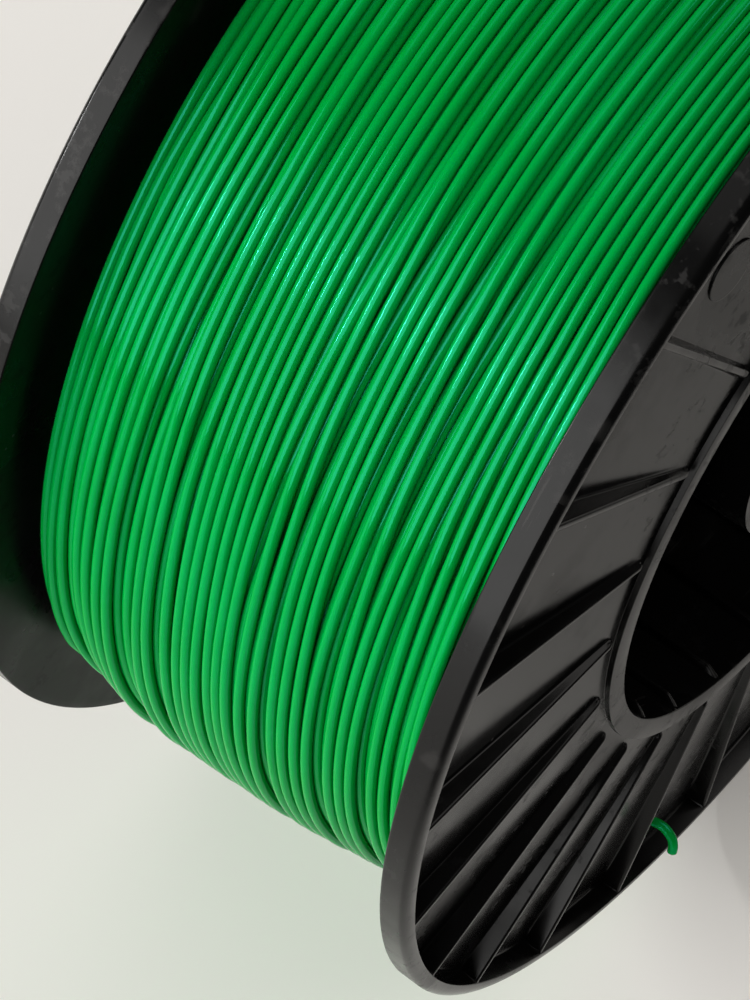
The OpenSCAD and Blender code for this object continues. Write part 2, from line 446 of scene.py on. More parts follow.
@dataclass(frozen=True)
class MouldedPlastic:
    """Black injection-moulded plastic, semi-gloss, with flow marks, scuffs and dust."""

    name: str
    colour: Triple = (0.0025, 0.0024, 0.0023)
    rubbed: Triple = (0.014, 0.0135, 0.013)
    dull: Triple = (0.002, 0.002, 0.002)
    dust: Triple = (0.2, 0.195, 0.185)
    roughness: float = 0.22
    ior: float = 1.25
    scuff_share: float = 0.14
    dust_share: float = 0.012
    scratch_stretch: Triple = (60.0, 900.0, 60.0)
    scuff_wear: float = 0.35
    scratch_wear: float = 0.5
    wear_dulling: float = 0.13
    dust_cover: float = 0.4
    bump_strength: float = 0.35
    bump_mm: float = 0.01

    def build(self, effects: SharedEffects) -> bpy.types.Material:
        """Makes the material from the shared effects.

        Args:
            effects: The node groups to place.

        Returns:
            The finished material.
        """
        material, sheet, shader, place = new_material(self.name)
        grain = place_group(sheet, effects.grain, {"Vector": place})
        scuffs = place_group(sheet, effects.scuffs, {"Vector": place, "Share": self.scuff_share})
        scratches = place_group(sheet, effects.scratches,
                                {"Vector": place, "Stretch": self.scratch_stretch})
        dust = place_group(sheet, effects.dust, {"Vector": place, "Share": self.dust_share})
        blotch = place_group(sheet, effects.blotches, {"Vector": place})
        wear = sheet.math("MAXIMUM", sheet.times(scuffs.outputs["Mask"], self.scuff_wear),
                          sheet.times(scratches.outputs["Mask"], self.scratch_wear))
        base = sheet.blend(blotch.outputs["Mask"], (*self.colour, 1), (*self.dull, 1))
        base = sheet.blend(wear, base, (*self.rubbed, 1))
        dusty = sheet.times(dust.outputs["Mask"], self.dust_cover)
        base = sheet.blend(dusty, base, (*self.dust, 1))
        gloss = sheet.spread(grain.outputs["Gloss"], 0.0, 1.0,
                             self.roughness - 0.05, self.roughness + 0.07)
        marked = sheet.math("MAXIMUM", wear, blotch.outputs["Mask"])
        dulled = sheet.times(marked, self.wear_dulling)
        rough = sheet.math("ADD", gloss, dulled)
        height = sheet.math("ADD", grain.outputs["Height"], sheet.times(scuffs.outputs["Height"], 0.5))
        bump = sheet.add("ShaderNodeBump", {
            "Height": height, "Strength": self.bump_strength, "Distance": self.bump_mm * MM})
        sheet.tree.links.new(base, shader.inputs["Base Color"])
        sheet.tree.links.new(rough, shader.inputs["Roughness"])
        sheet.tree.links.new(bump.outputs["Normal"], shader.inputs["Normal"])
        shader.inputs["IOR"].default_value = self.ior
        return material


@dataclass(frozen=True)
class GreenFilament:
    """Glossy extruded filament, a little translucent, so that its shaded side glows."""

    name: str
    colour: Triple = (0.0, 0.285, 0.044)
    deep: Triple = (0.0, 0.255, 0.03)
    glint: Triple = (2.4, 28.0, 25.0)
    roughness: float = 0.105
    ior: float = 1.46
    specular: float = 0.02
    glow: float = 0.2
    glow_reach: Triple = (0.03, 1.0, 0.12)
    glow_depth_mm: float = 0.6

    def build(self) -> bpy.types.Material:
        """Makes the material.

        Returns:
            The finished material.
        """
        material, sheet, shader, place = new_material(self.name)
        tone = sheet.spread(sheet.noise(place, 30.0, 2.0), 0.3, 0.7)
        base = sheet.blend(tone, (*self.deep, 1), (*self.colour, 1))
        sheet.tree.links.new(base, shader.inputs["Base Color"])
        shader.inputs["Roughness"].default_value = self.roughness
        shader.inputs["IOR"].default_value = self.ior
        shader.inputs["Specular IOR Level"].default_value = self.specular
        shader.inputs["Specular Tint"].default_value = (*self.glint, 1)
        shader.inputs["Subsurface Weight"].default_value = self.glow
        shader.inputs["Subsurface Radius"].default_value = self.glow_reach
        shader.inputs["Subsurface Scale"].default_value = self.glow_depth_mm * MM
        return material


# ---- Flanges ----

@dataclass
class Flange:
    """One ribbed flange, with its web, rim, hub ring and spigot. Lengths are in millimetres.

    The whole moulding is one closed grid. Its rows are the places of a section that runs from the
    hub ring's face over the web and the rim and back along the inner side. Its columns run round
    the axis, close together on each rib.
    """

    sizes: SpoolSizes
    side: Side
    rib_count: int = 24
    rib_phase_deg: float = 2.6
    rib_t: float = 1.2
    rib_draft: float = 0.25
    rib_setback: float = 0.2
    rib_round: float = 0.42
    rib_fillet: float = 0.35
    nose_gap: float = 1.3
    nose_length: float = 1.3
    nose_round: float = 0.65
    ring_wall: float = 3.8
    barrel_wall: float = 1.6
    spigot_fit: float = 0.1
    rim_lip: float = 2.5
    rim_draft: float = 0.3
    rim_crown: float = 1.2
    crown_start: float = 0.28
    rim_round: float = 0.3
    lip_edge: float = 0.12
    edge_round: float = 0.2
    ring_edge: float = 0.08
    ring_fillet: float = 0.1
    web_t_hub: float = 3.7
    web_t_rim: float = 1.0
    web_fillet: float = 0.5
    plain_columns: int = 6
    inner_rib_h: float = 1.3
    inner_rib_t: float = 1.3
    inner_rib_lead: float = 2.6
    inner_rib_setback: float = 0.5
    inner_rib_buried: float = 0.35
    inner_rib_bevel: float = 0.3
    hole_d: float = 4.6
    hole_drop: float = 3.8
    hole_angle_deg: float = 248.3
    hole_sides: int = 40
    hole_cut: float = 12.0
    mark_d: float = 9.6
    mark_h: float = 0.25
    mark_buried: float = 0.4
    mark_edge: float = 0.12
    mark_inset: float = 18.7
    mark_angle_deg: float = 115.1
    worn_share: float = 0.8
    sharp_deg: float = 38.0

    @property
    def pitch(self) -> float:
        """Angle from one rib to the next, in radians."""
        return 2 * math.pi / self.rib_count

    @property
    def ring_r(self) -> float:
        """Inner radius of the hub ring."""
        return self.sizes.barrel_r - self.ring_wall

    @property
    def rim_in_r(self) -> float:
        """Inner radius of the rim's end face."""
        return self.sizes.flange_r - self.rim_lip

    @property
    def hole_r(self) -> float:
        """Radius at which the parking hole's centre lies."""
        return self.sizes.wound_r - self.hole_drop

    def web_height(self, radius: np.ndarray) -> np.ndarray:
        """Height of the web's outer surface at a radius."""
        thick = np.interp(radius, (self.sizes.barrel_r, self.rim_in_r - self.rim_draft),
                          (self.web_t_hub, self.web_t_rim))
        return self.sizes.half_gap + thick

    def front_section(self) -> list[tuple[float, float]]:
        """Radii and heights from the hub ring's face over the web to the rim's outer edge.

        Returns:
            Radius and height of each place, in order.
        """
        s, edge, fillet = self.sizes, self.ring_edge, self.web_fillet
        foot = s.barrel_r + 0.02
        wall = self.rim_in_r - self.rim_draft
        rows = [(self.ring_r + self.edge_round, s.face), (s.barrel_r - self.ring_wall / 2, s.face)]
        rows += bend(s.barrel_r, s.face, -edge, -edge)[::-1]
        rows += bend(foot, self.web_at(foot), self.ring_fillet, self.ring_fillet)
        start = s.barrel_r + self.nose_gap
        nose = (0, 0.05, 0.12, 0.22, 0.35, 0.5, 0.7, 1.0, 1.3)
        open_web = list(np.linspace(start + self.nose_length + 0.8, wall - fillet - 0.3, 14))
        plain = [foot + 0.8, start - 0.15] + [start + reach for reach in nose] + open_web
        rows += [(r, self.web_at(r)) for r in plain]
        rows += bend(wall, self.web_at(wall), -fillet, fillet)[::-1]
        rows.append((self.rim_in_r - 0.02, s.face - self.lip_edge - 0.04))
        rows += bend(self.rim_in_r, s.face, self.lip_edge, -self.lip_edge)
        flat_r = self.rim_in_r + self.rim_lip * self.crown_start
        crown = np.radians(np.linspace(90, 0, 10))
        rows += zip(flat_r + (s.flange_r - flat_r) * np.cos(crown),
                    s.face - self.rim_crown * (1 - np.sin(crown)))
        return rows

    def web_at(self, radius: float) -> float:
        """Height of the web's outer surface at one radius."""
        return float(self.web_height(np.array(radius)))

    def back_section(self) -> list[tuple[float, float]]:
        """Radii and heights from the rim's outer edge back along the inner side to the ring's bore.

        Returns:
            Radius and height of each place, in order.
        """
        s = self.sizes
        spigot_r = s.barrel_r - self.barrel_wall - self.spigot_fit
        rows = [(s.flange_r, s.half_gap + step) for step in (3.0, 1.8, 0.6)]
        rows += bend(s.flange_r, s.half_gap, -self.rim_round, self.rim_round)
        rows += [(r, s.half_gap) for r in np.linspace(s.flange_r - 1.5, spigot_r + 1.5, 8)]
        rows += [(spigot_r, s.half_gap), (spigot_r, s.spigot_end + 0.4),
                 (spigot_r - 0.4, s.spigot_end), (self.ring_r + 0.2, s.spigot_end),
                 (self.ring_r, s.spigot_end + 0.2)]
        rows += [(self.ring_r, s.face - step) for step in (20.0, 12.0, 4.0, 1.0)]
        return rows + bend(self.ring_r, s.face, self.edge_round, -self.edge_round)[:-1]

    def crest_height(self, radius: np.ndarray, web: np.ndarray) -> np.ndarray:
        """Height of a rib's crest at a radius, with a round nose that sinks to the web near the hub.

        Args:
            radius: Radius of each row.
            web: Height of the web's surface at each row.

        Returns:
            Height of the crest at each row.
        """
        start = self.sizes.barrel_r + self.nose_gap
        reach = np.clip((radius - start) / self.nose_length, 0, 1)
        return web + (self.sizes.face - self.rib_setback - web) * np.sqrt(1 - (1 - reach) ** 2)

    def half_columns(self, radius: np.ndarray, base: np.ndarray,
                     ribbed: np.ndarray) -> tuple[np.ndarray, np.ndarray]:
        """Angles from a rib's middle line and heights, for half of the sector round a rib.

        Args:
            radius: Radius of each row.
            base: Height of each row beside the ribs.
            ribbed: Whether a rib may stand proud of the row.

        Returns:
            Angles in radians and heights, for each row and column.
        """
        web = self.web_height(radius)
        crest = self.crest_height(radius, web)
        half, soft, fillet = self.rib_t / 2, self.rib_round, self.rib_fillet
        arc = np.array(QUARTER)
        over = np.concatenate([[0.0], half - soft + soft * np.sin(arc)])
        drop = np.concatenate([[0.0], soft * (1 - np.cos(arc))])
        foot = half + self.rib_draft + fillet * (1 - np.cos(arc))
        rise = fillet * (1 - np.sin(arc))
        scale = np.clip((crest - web) / (soft + fillet), 0, 1)[:, None]
        top = crest[:, None] - scale * drop[None, :]
        low = web[:, None] + scale * rise[None, :]
        rib = np.hstack([top, low, low[:, -1:]])
        start = self.sizes.barrel_r + self.nose_gap
        reach = np.clip((radius - start) / self.nose_round, 0, 1)
        narrow = np.sqrt(np.clip(1 - (1 - reach) ** 2, 0.05, 1))
        narrow = np.where(ribbed, narrow, 1.0)[:, None]
        sideways = np.concatenate([over, foot, [foot[-1] + 0.3]])[None, :] * narrow
        near = np.arcsin(sideways / radius[:, None])
        share = np.linspace(0, 1, self.plain_columns + 1)[None, 1:]
        far = near[:, -1:] + (self.pitch / 2 - near[:, -1:]) * share
        height = np.where(ribbed[:, None], np.maximum(base[:, None], rib), base[:, None])
        plain = np.repeat(base[:, None], self.plain_columns, axis=1)
        return np.hstack([near, far]), np.hstack([height, plain])

    def body(self) -> tuple[np.ndarray, np.ndarray]:
        """Points and quads of the whole moulding, as one closed grid.

        Returns:
            Points in the flange's own frame, and quads.
        """
        front, back = self.front_section(), self.back_section()
        section = np.array(front + back)
        radius, base = section[:, 0], section[:, 1]
        ribbed = np.arange(len(section)) < len(front)
        ribbed &= (radius > self.sizes.barrel_r + 0.5) & (radius < self.rim_in_r + 0.1)
        angle, height = self.half_columns(radius, base, ribbed)
        angle = np.hstack([-angle[:, -2:0:-1], angle])
        height = np.hstack([height[:, -2:0:-1], height])
        turns = math.radians(self.rib_phase_deg) + self.pitch * np.arange(self.rib_count)
        angles = (turns[None, :, None] + angle[:, None, :]).reshape(len(section), -1)
        heights = np.tile(height, (1, self.rib_count))
        points = polar(radius[:, None], angles, heights)
        columns = angles.shape[1]
        return points, grid_quads(len(section) + 1, columns) % (len(section) * columns)

    def inner_rib(self, turn: float) -> tuple[np.ndarray, np.ndarray]:
        """Points and quads of one small rib inside the hub ring.

        Args:
            turn: The rib's angle in radians.

        Returns:
            Points in the flange's own frame, and quads.
        """
        mouth = self.sizes.face - self.inner_rib_setback
        tail = self.sizes.spigot_end + self.inner_rib_setback
        lead = np.linspace(0, 1, 5)
        tall, buried, bevel = self.inner_rib_h, self.inner_rib_buried, self.inner_rib_bevel
        heights = np.concatenate([[tail, tail + bevel], mouth - self.inner_rib_lead * (1 - lead)])
        crest = np.concatenate([[tall - bevel, tall], tall - (tall + 0.1) * lead ** 1.2])
        across = np.linspace(-1, 1, 9)
        hump = np.sqrt(np.clip(1 - np.abs(across) ** 4, 0, 1))
        radius = self.ring_r + buried - (crest[:, None] + buried) * hump[None, :]
        tangent = across[None, :] * self.inner_rib_t / 2 * np.ones_like(radius)
        z = heights[:, None] * np.ones_like(radius)
        return spun(radius, tangent, z, turn), capped_quads(len(heights), across.size)

    def mark_pad(self) -> tuple[np.ndarray, np.ndarray]:
        """Points and quads of the plain round pad, whose top runs level with the web.

        Returns:
            Points in the flange's own frame, and quads.
        """
        middle = self.sizes.flange_r - self.mark_inset
        half, tall, edge = self.mark_d / 2, self.mark_h, self.mark_edge
        rings = [(half, -self.mark_buried), (half, tall - edge), (half - edge / 3, tall - edge / 3),
                 (half - edge, tall), (half - 0.3, tall), (half * 0.6, tall), (half * 0.3, tall),
                 (0.01, tall)]
        around = np.linspace(0, 2 * math.pi, 49)[:-1]
        radius = np.array([r for r, _ in rings])[:, None]
        x = middle + radius * np.cos(around)[None, :]
        y = radius * np.sin(around)[None, :]
        z = self.web_height(np.hypot(x, y)) + np.array([h for _, h in rings])[:, None]
        points = spun(x, y, z, math.radians(self.mark_angle_deg))
        return points, capped_quads(len(rings), around.size)

    def cut_hole(self, piece: bpy.types.Object) -> None:
        """Cuts the filament's parking hole through the web.

        Args:
            piece: The moulding's object.
        """
        bpy.ops.mesh.primitive_cylinder_add(vertices=self.hole_sides, depth=self.hole_cut * MM,
                                            radius=self.hole_d / 2 * MM)
        cutter = bpy.context.object
        turn = math.radians(self.hole_angle_deg)
        place = np.array([[self.hole_r * math.cos(turn), self.hole_r * math.sin(turn),
                           self.sizes.half_gap + 1.0]])
        cutter.matrix_world = (Matrix.Translation(Vector(to_row(place, self.side)[0]))
                               @ Matrix.Rotation(math.pi / 2, 4, "X"))
        bpy.context.view_layer.update()
        cut = piece.modifiers.new("hole", "BOOLEAN")
        cut.operation, cut.solver, cut.object = "DIFFERENCE", "EXACT", cutter
        bpy.context.view_layer.objects.active = piece
        bpy.ops.object.modifier_apply(modifier=cut.name)
        bpy.data.objects.remove(cutter)

    def dress(self, piece: bpy.types.Object, matt: bpy.types.Material,
              worn: bpy.types.Material) -> None:
        """Gives the face beside the winding and the rim's outer wall their own finishes.

        Args:
            piece: The moulding's object.
            matt: Finish of the face beside the winding.
            worn: Finish of the rim.
        """
        piece.data.materials.append(matt)
        piece.data.materials.append(worn)
        inward = 1.0 if self.side is Side.NEAR else -1.0
        wall = (self.sizes.flange_r - self.worn_share * self.rim_lip) * MM
        for face in piece.data.polygons:
            if face.normal.y * inward > 0.6:
                face.material_index = 1
            elif math.hypot(face.center.x, face.center.z) > wall:
                face.material_index = 2

    def build(self, material: bpy.types.Material, matt: bpy.types.Material,
              worn: bpy.types.Material) -> list[bpy.types.Object]:
        """Builds the flange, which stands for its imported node.

        Args:
            material: Finish of the moulding.
            matt: Finish of the face beside the winding.
            worn: Finish of the rim, which is rubbed most.

        Returns:
            The moulding, and the small ribs with the pad.
        """
        name = f"{self.side.value}_flange"
        points, quads = self.body()
        piece = mesh_object(f"{name}_moulding", to_row(points, self.side), quads, material,
                            sharp_deg=self.sharp_deg)
        self.cut_hole(piece)
        self.dress(piece, matt, worn)
        piece.data.shade_smooth()
        piece.data.set_sharp_from_angle(angle=math.radians(self.sharp_deg))
        extras = [self.inner_rib(math.radians(self.rib_phase_deg) + k * self.pitch)
                  for k in range(self.rib_count)]
        extras.append(self.mark_pad())
        starts = np.cumsum([0] + [len(places) for places, _ in extras])
        small = mesh_object(f"{name}_small_ribs_and_pad",
                            to_row(np.vstack([places for places, _ in extras]), self.side),
                            np.vstack([faces + start for (_, faces), start in zip(extras, starts)]),
                            material, sharp_deg=50.0)
        for part in (piece, small):
            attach(part, "root")
        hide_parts(name)
        return [piece, small]


# ---- Winding ----

@dataclass
class Winding:
    """The filament's turns, laid one after another. Lengths are in millimetres.

    Pitches, drift, wander and lane steps are shares of the strand's thickness. Where a field holds
    two values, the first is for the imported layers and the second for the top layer.
    """

    sizes: SpoolSizes
    strand_d: float = 1.75
    steps: int = 216
    sides: int = 16
    cell: float = 0.07
    near_gap: float = 2.6
    far_gap: float = 2.9
    near_drop: float = 5.5
    near_curve: float = 1.3
    far_drop: float = 7.5
    far_curve: float = 6.0
    end_inset: float = 0.4
    end_depth: float = 9.0
    hills: float = 0.2
    hill_knots: int = 10
    hill_rise: float = 0.6
    hill_fall: float = 2.5
    layers: int = 4
    pitches: tuple[float, float] = (1.04, 1.26)
    bunching: tuple[float, float] = (0.05, 0.42)
    bunch_turns: int = 2
    slowest: float = 0.7
    wander: tuple[float, float] = (0.1, 0.15)
    wander_knots: int = 6
    drift: tuple[float, float] = (0.12, 0.36)
    drift_knots: int = 2
    nesting: float = 0.87
    top_sink: float = 0.72
    ridge_sink: float = 0.3
    lanes: int = 24
    lane_step: float = 0.07
    guide_pull: float = 0.10
    end_pull: float = 50.0
    stiffness: float = 24.0
    ease_reach: int = 8
    ease_width: float = 3.4
    press: float = 0.12
    core_gap: float = 0.1
    core_cells: int = 6
    core_edge: float = 0.6
    seed: int = 5
    start_r: float = field(init=False)
    low: float = field(init=False)
    high: float = field(init=False)
    columns: int = field(init=False)

    def __post_init__(self) -> None:
        """Works out the lowest turns' radius and the range that the turns lie in."""
        rise = self.strand_d * self.nesting
        half = self.sizes.half_gap
        self.start_r = self.sizes.wound_r - self.strand_d * self.top_sink - rise * (self.layers - 1)
        self.low = -half + self.near_gap + self.strand_d / 2
        self.high = half - self.far_gap - self.strand_d / 2
        self.columns = int(2 * half / self.cell) + 2

    def drop(self, share: np.ndarray) -> np.ndarray:
        """How far the turns lie lower towards the flanges, at shares from -1 to 1 across the spool."""
        near = self.near_drop * np.clip(-share, 0, None) ** self.near_curve
        return near + self.far_drop * np.clip(share, 0, None) ** self.far_curve

    def bed(self, rng: np.random.Generator) -> np.ndarray:
        """Radii that the lowest turns rest on, for each step and cell across the spool.

        Args:
            rng: Source of the bed's soft hills.

        Returns:
            Lower radii beside the flanges, with soft hills between them.
        """
        drop = self.drop(np.linspace(-1, 1, self.columns))
        angle = np.arange(self.steps)[:, None] * (2 * math.pi / self.steps)
        wave = np.zeros((self.steps, self.columns))
        for count in (0, 1, 2):
            start = rng.uniform(0, 2 * math.pi)
            across = smooth_noise(self.columns, self.hill_knots, rng)
            wave += across[None, :] * np.cos(count * angle + start)
        hills = self.hills * np.clip(wave - self.hill_rise, -self.hill_fall, self.hill_rise)
        return self.start_r - drop[None, :] + hills

    def guides(self, rng: np.random.Generator) -> tuple[np.ndarray, np.ndarray]:
        """Where the guide lays the filament.

        Args:
            rng: Source of the guide's wander.

        Returns:
            The guide's place across the spool for each step of each turn, and the layer of
            each turn.
        """
        rows, layer_of = [], []
        for layer in range(self.layers):
            last = layer == self.layers - 1
            pitch = self.strand_d * self.pitches[last]
            inset = layer * self.end_inset * self.strand_d
            width = self.high - self.low - 2 * inset
            turns = int(width / pitch)
            count = turns * self.steps
            bunched = self.bunching[last] * smooth_noise(count, turns // self.bunch_turns, rng)
            speed = np.clip(1 + bunched, self.slowest, None)
            run = np.cumsum(speed)
            run = self.low + inset + width * (run - run[0]) / (run[-1] - run[0])
            if layer % 2:
                run = self.low + self.high - run
            wander = smooth_noise(count, turns * self.wander_knots, rng) * self.wander[last]
            drift = smooth_noise(count, turns * self.drift_knots, rng) * self.drift[last]
            run = np.clip(run + (wander + drift) * self.strand_d, self.low, self.high)
            rows.append(run.reshape(turns, self.steps))
            layer_of += [layer] * turns
        return np.vstack(rows), np.array(layer_of)

    def settle(self, floor: np.ndarray, guide: np.ndarray, start: float) -> np.ndarray:
        """Finds where one turn comes to rest, low in the grooves but near its guide.

        Args:
            floor: Lowest radius that a strand's centre can take, for each step and cell.
            guide: The guide's place at each step.
            start: Where the last turn ended.

        Returns:
            The turn's place across the spool at each step.
        """
        offsets = np.arange(-self.lanes, self.lanes + 1) * (self.strand_d * self.lane_step)
        lanes = np.clip(guide[:, None] + offsets[None, :], self.low, self.high)
        cells = np.rint((lanes + self.sizes.half_gap) / self.cell).astype(int)
        height = np.take_along_axis(floor, cells, axis=1) / self.strand_d
        pull = self.guide_pull * (offsets / self.strand_d) ** 2
        cost = np.abs(lanes[0] - start) * self.end_pull
        came = np.zeros((self.steps, offsets.size), int)
        for step in range(1, self.steps):
            move = (lanes[step][:, None] - lanes[step - 1][None, :]) / self.strand_d
            total = cost[None, :] + self.stiffness * move ** 2
            came[step] = total.argmin(axis=1)
            cost = total.min(axis=1) + height[step] + pull
        best = int(cost.argmin())
        path = np.empty(self.steps)
        for step in range(self.steps - 1, -1, -1):
            path[step] = lanes[step, best]
            best = came[step, best]
        return path

    def ease(self, run: np.ndarray, before: np.ndarray) -> np.ndarray:
        """Smooths one turn's values along the strand, going on from the values before it.

        Args:
            run: The turn's values, one a step.
            before: Values that came before them.

        Returns:
            The smoothed values.
        """
        reach = self.ease_reach
        kernel = np.exp(-0.5 * (np.arange(-reach, reach + 1) / self.ease_width) ** 2)
        whole = np.concatenate([before[-reach:], run, np.full(reach, run[-1])])
        return np.convolve(whole, kernel / kernel.sum(), "valid")

    def lay(self) -> tuple[np.ndarray, np.ndarray, np.ndarray]:
        """Lays all turns.

        Returns:
            Places across the spool and radii of the turns' centre lines, and their layers.
        """
        rng = np.random.default_rng(self.seed)
        floor = self.bed(rng)
        guide, layer_of = self.guides(rng)
        reach = int(self.strand_d / self.cell)
        step_row = np.arange(self.steps)
        across, radii = [], []
        at = guide[0, 0]
        for turn in range(len(guide)):
            path = self.settle(floor, guide[turn], at)
            path = self.ease(path, across[-1] if turn else path[:self.ease_reach])
            at = path[-1]
            exact = (path + self.sizes.half_gap) / self.cell
            below = np.clip(exact.astype(int), 0, self.columns - 2)
            part = np.clip(exact - below, 0, 1)
            rest = (1 - part) * floor[step_row, below] + part * floor[step_row, below + 1]
            cells = np.rint(exact).astype(int)
            eased = self.ease(rest, radii[-1] if turn else rest[:self.ease_reach])
            radius = np.maximum(eased, rest - self.press * self.strand_d)
            for k in range(-reach, reach + 1):
                column = np.clip(cells + k, 0, self.columns - 1)
                gap = column * self.cell - self.sizes.half_gap - path
                lift = radius + np.sqrt(np.clip(self.strand_d ** 2 - gap ** 2, 0, None))
                near = np.abs(gap) < self.strand_d
                floor[step_row[near], column[near]] = np.maximum(
                    floor[step_row[near], column[near]], lift[near])
            across.append(path)
            radii.append(radius)
        return np.array(across), np.array(radii), layer_of

    def tube(self, across: np.ndarray, radii: np.ndarray) -> tuple[np.ndarray, np.ndarray]:
        """Sweeps the strand along a run of turns, as one open tube with capped ends.

        Args:
            across: Places across the spool for each step of each turn.
            radii: Radii of the centre line for each step of each turn.

        Returns:
            Points in the row frame in metres, and quads.
        """
        along = across.ravel()
        radius = radii.ravel()
        angle = np.arange(along.size) * (2 * math.pi / self.steps)
        around = np.arange(self.sides) * (2 * math.pi / self.sides)
        half = self.strand_d / 2
        r = radius[:, None] + half * np.cos(around)[None, :]
        y = along[:, None] + half * np.sin(around)[None, :]
        points = polar(r, angle[:, None], y)[:, [0, 2, 1]] * MM
        return points, capped_quads(along.size, self.sides)

    def core(self) -> tuple[np.ndarray, np.ndarray]:
        """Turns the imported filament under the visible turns, with a ridge for each of its turns.

        Returns:
            Points in the row frame in metres, and quads, with the seam's points doubled.
        """
        half = self.sizes.half_gap - self.core_gap
        inner = self.sizes.barrel_r + self.core_gap
        places = np.arange(self.low, self.high, self.strand_d / self.core_cells)
        across = np.concatenate([[-half], places, [half]])
        phase = (across - self.low) / (self.pitches[0] * self.strand_d) % 1.0 * 2 - 1
        ridge = self.strand_d / 2 * np.sqrt(np.clip(1 - phase ** 2, 0, None))
        radius = self.start_r - self.drop(across / self.sizes.half_gap) + ridge - self.ridge_sink
        outside = half - np.array([self.near_gap, self.far_gap]) * self.core_edge
        rim = radius[[1, -2]] - self.end_depth
        across = np.concatenate([[-half, -half, -outside[0]], across[1:-1], [outside[1], half, half]])
        radius = np.concatenate([[inner, rim[0], rim[0]], radius[1:-1], [rim[1], rim[1], inner]])
        angle = np.linspace(0, 2 * math.pi, self.steps + 1)[:, None]
        points = polar(radius, angle, across)[:, [0, 2, 1]] * MM
        return points, grid_quads(self.steps + 1, across.size)

    def build(self, material: bpy.types.Material) -> list[bpy.types.Object]:
        """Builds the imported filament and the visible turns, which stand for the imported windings.

        Args:
            material: The filament's finish.

        Returns:
            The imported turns, then the visible layers from the top one down.
        """
        points, quads = self.core()
        packed = mesh_object("filament_packed_turns", points, quads, material, weld=1e-6,
                             sharp_deg=80.0)
        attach(packed, "root")
        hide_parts("inner_winding")
        across, radii, layer_of = self.lay()
        outer_r = radii.max() + self.strand_d / 2
        LOG.info("winding: %d turns, outer radius %.2f mm", len(across), outer_r)
        pieces = [packed]
        names = ("filament_top_turns", "filament_lower_turns", "filament_third_turns")
        for depth, name in enumerate(names, start=1):
            chosen = layer_of == self.layers - depth
            points, quads = self.tube(across[chosen], radii[chosen])
            piece = mesh_object(name, points, quads, material, sharp_deg=80.0)
            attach(piece, "root")
            if depth == 1:
                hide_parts("outer_winding")
            pieces.append(piece)
        return pieces


# ---- Filament end and hub ----

@dataclass
class FilamentEnd:
    """The loose end of the filament, parked through the near flange's hole.

    Each knot of the route gives radius, angle in degrees and height from the hole's middle on the
    web's inner side. Each ring of the tip gives its share of the thickness and its reach past the
    route. Lengths are in millimetres.
    """

    sizes: SpoolSizes
    flange: Flange
    strand_d: float = 1.75
    sides: int = 14
    steps_between: int = 4
    route: tuple[Triple, ...] = (
        (-6.0, -38, -3.6), (-5.0, -33, -3.4), (-4.0, -28, -3.0), (-3.1, -23.5, -2.5),
        (-2.3, -19.5, -2.0), (-1.6, -16, -1.6), (-1.1, -13, -1.4), (-0.8, -10.5, -1.3),
        (-0.5, -8, -1.3), (-0.2, -6, -1.3), (-0.1, -4, -1.2), (0, -2.4, -0.8),
        (0, -1.2, 0.1), (0, -0.4, 1.4), (0, 0, 2.8), (0.3, 0.2, 4.2), (1, 0.3, 5.4),
        (2, 0.4, 6.3), (3.2, 0.4, 6.87), (4.4, 0.4, 7.05),
    )
    tip: tuple[tuple[float, float], ...] = ((0.86, 0.1), (0.5, 0.13), (0.02, 0.13))

    def centre_line(self) -> np.ndarray:
        """The route as smooth points in the flange's own frame.

        Returns:
            Rows of x, y, z in millimetres.
        """
        raw = np.array([[self.flange.hole_r + dr, math.radians(self.flange.hole_angle_deg + da),
                         self.sizes.half_gap + dz] for dr, da, dz in self.route])
        knots = polar(raw[:, 0], raw[:, 1], raw[:, 2])
        ends = np.vstack([2 * knots[0] - knots[1], knots, 2 * knots[-1] - knots[-2]])
        line = []
        for k in range(1, len(ends) - 2):
            a, b, c, d = ends[k - 1:k + 3]
            for t in np.linspace(0, 1, self.steps_between, endpoint=False):
                line.append(cubic_step(a, b, c, d, t))
        line.append(knots[-1])
        return np.array(line)

    def build(self, material: bpy.types.Material) -> bpy.types.Object:
        """Builds the end, with its cut tip.

        Args:
            material: The filament's finish.

        Returns:
            The end's object.
        """
        line = self.centre_line()
        tangents = np.gradient(line, axis=0)
        tangents /= np.linalg.norm(tangents, axis=1, keepdims=True)
        side = np.array([0.3, 0.2, 1.0])
        around = np.arange(self.sides)[:, None] * (2 * math.pi / self.sides)
        half = self.strand_d / 2
        rings = []
        for place, tangent in zip(line, tangents):
            side = side - side.dot(tangent) * tangent
            side /= np.linalg.norm(side)
            circle = half * (np.cos(around) * side + np.sin(around) * np.cross(tangent, side))
            rings.append(place + circle)
        rings += [place + tangent * push + circle * shrink for shrink, push in self.tip]
        rings.insert(0, line[0] + (rings[0] - line[0]) * self.tip[-1][0])
        piece = mesh_object("filament_loose_end", to_row(np.vstack(rings), Side.NEAR),
                            capped_quads(len(rings), self.sides), material, sharp_deg=60.0)
        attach(piece, "root")
        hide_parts("filament_end")
        return piece


@dataclass
class Hub:
    """The barrel, hub plates and arbor tube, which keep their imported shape."""

    nodes: tuple[str, ...] = ("barrel", "arbor_tube", "near_hub_plate", "far_hub_plate")

    def dress(self, plastic: bpy.types.Material) -> None:
        """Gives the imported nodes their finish.

        Args:
            plastic: Finish of the barrel, the tube and the plates.
        """
        for name in self.nodes:
            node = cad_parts[name]
            node.data.materials.clear()
            node.data.materials.append(plastic)
            LOG.info("dressed %s", name)


# ---- Studio ----

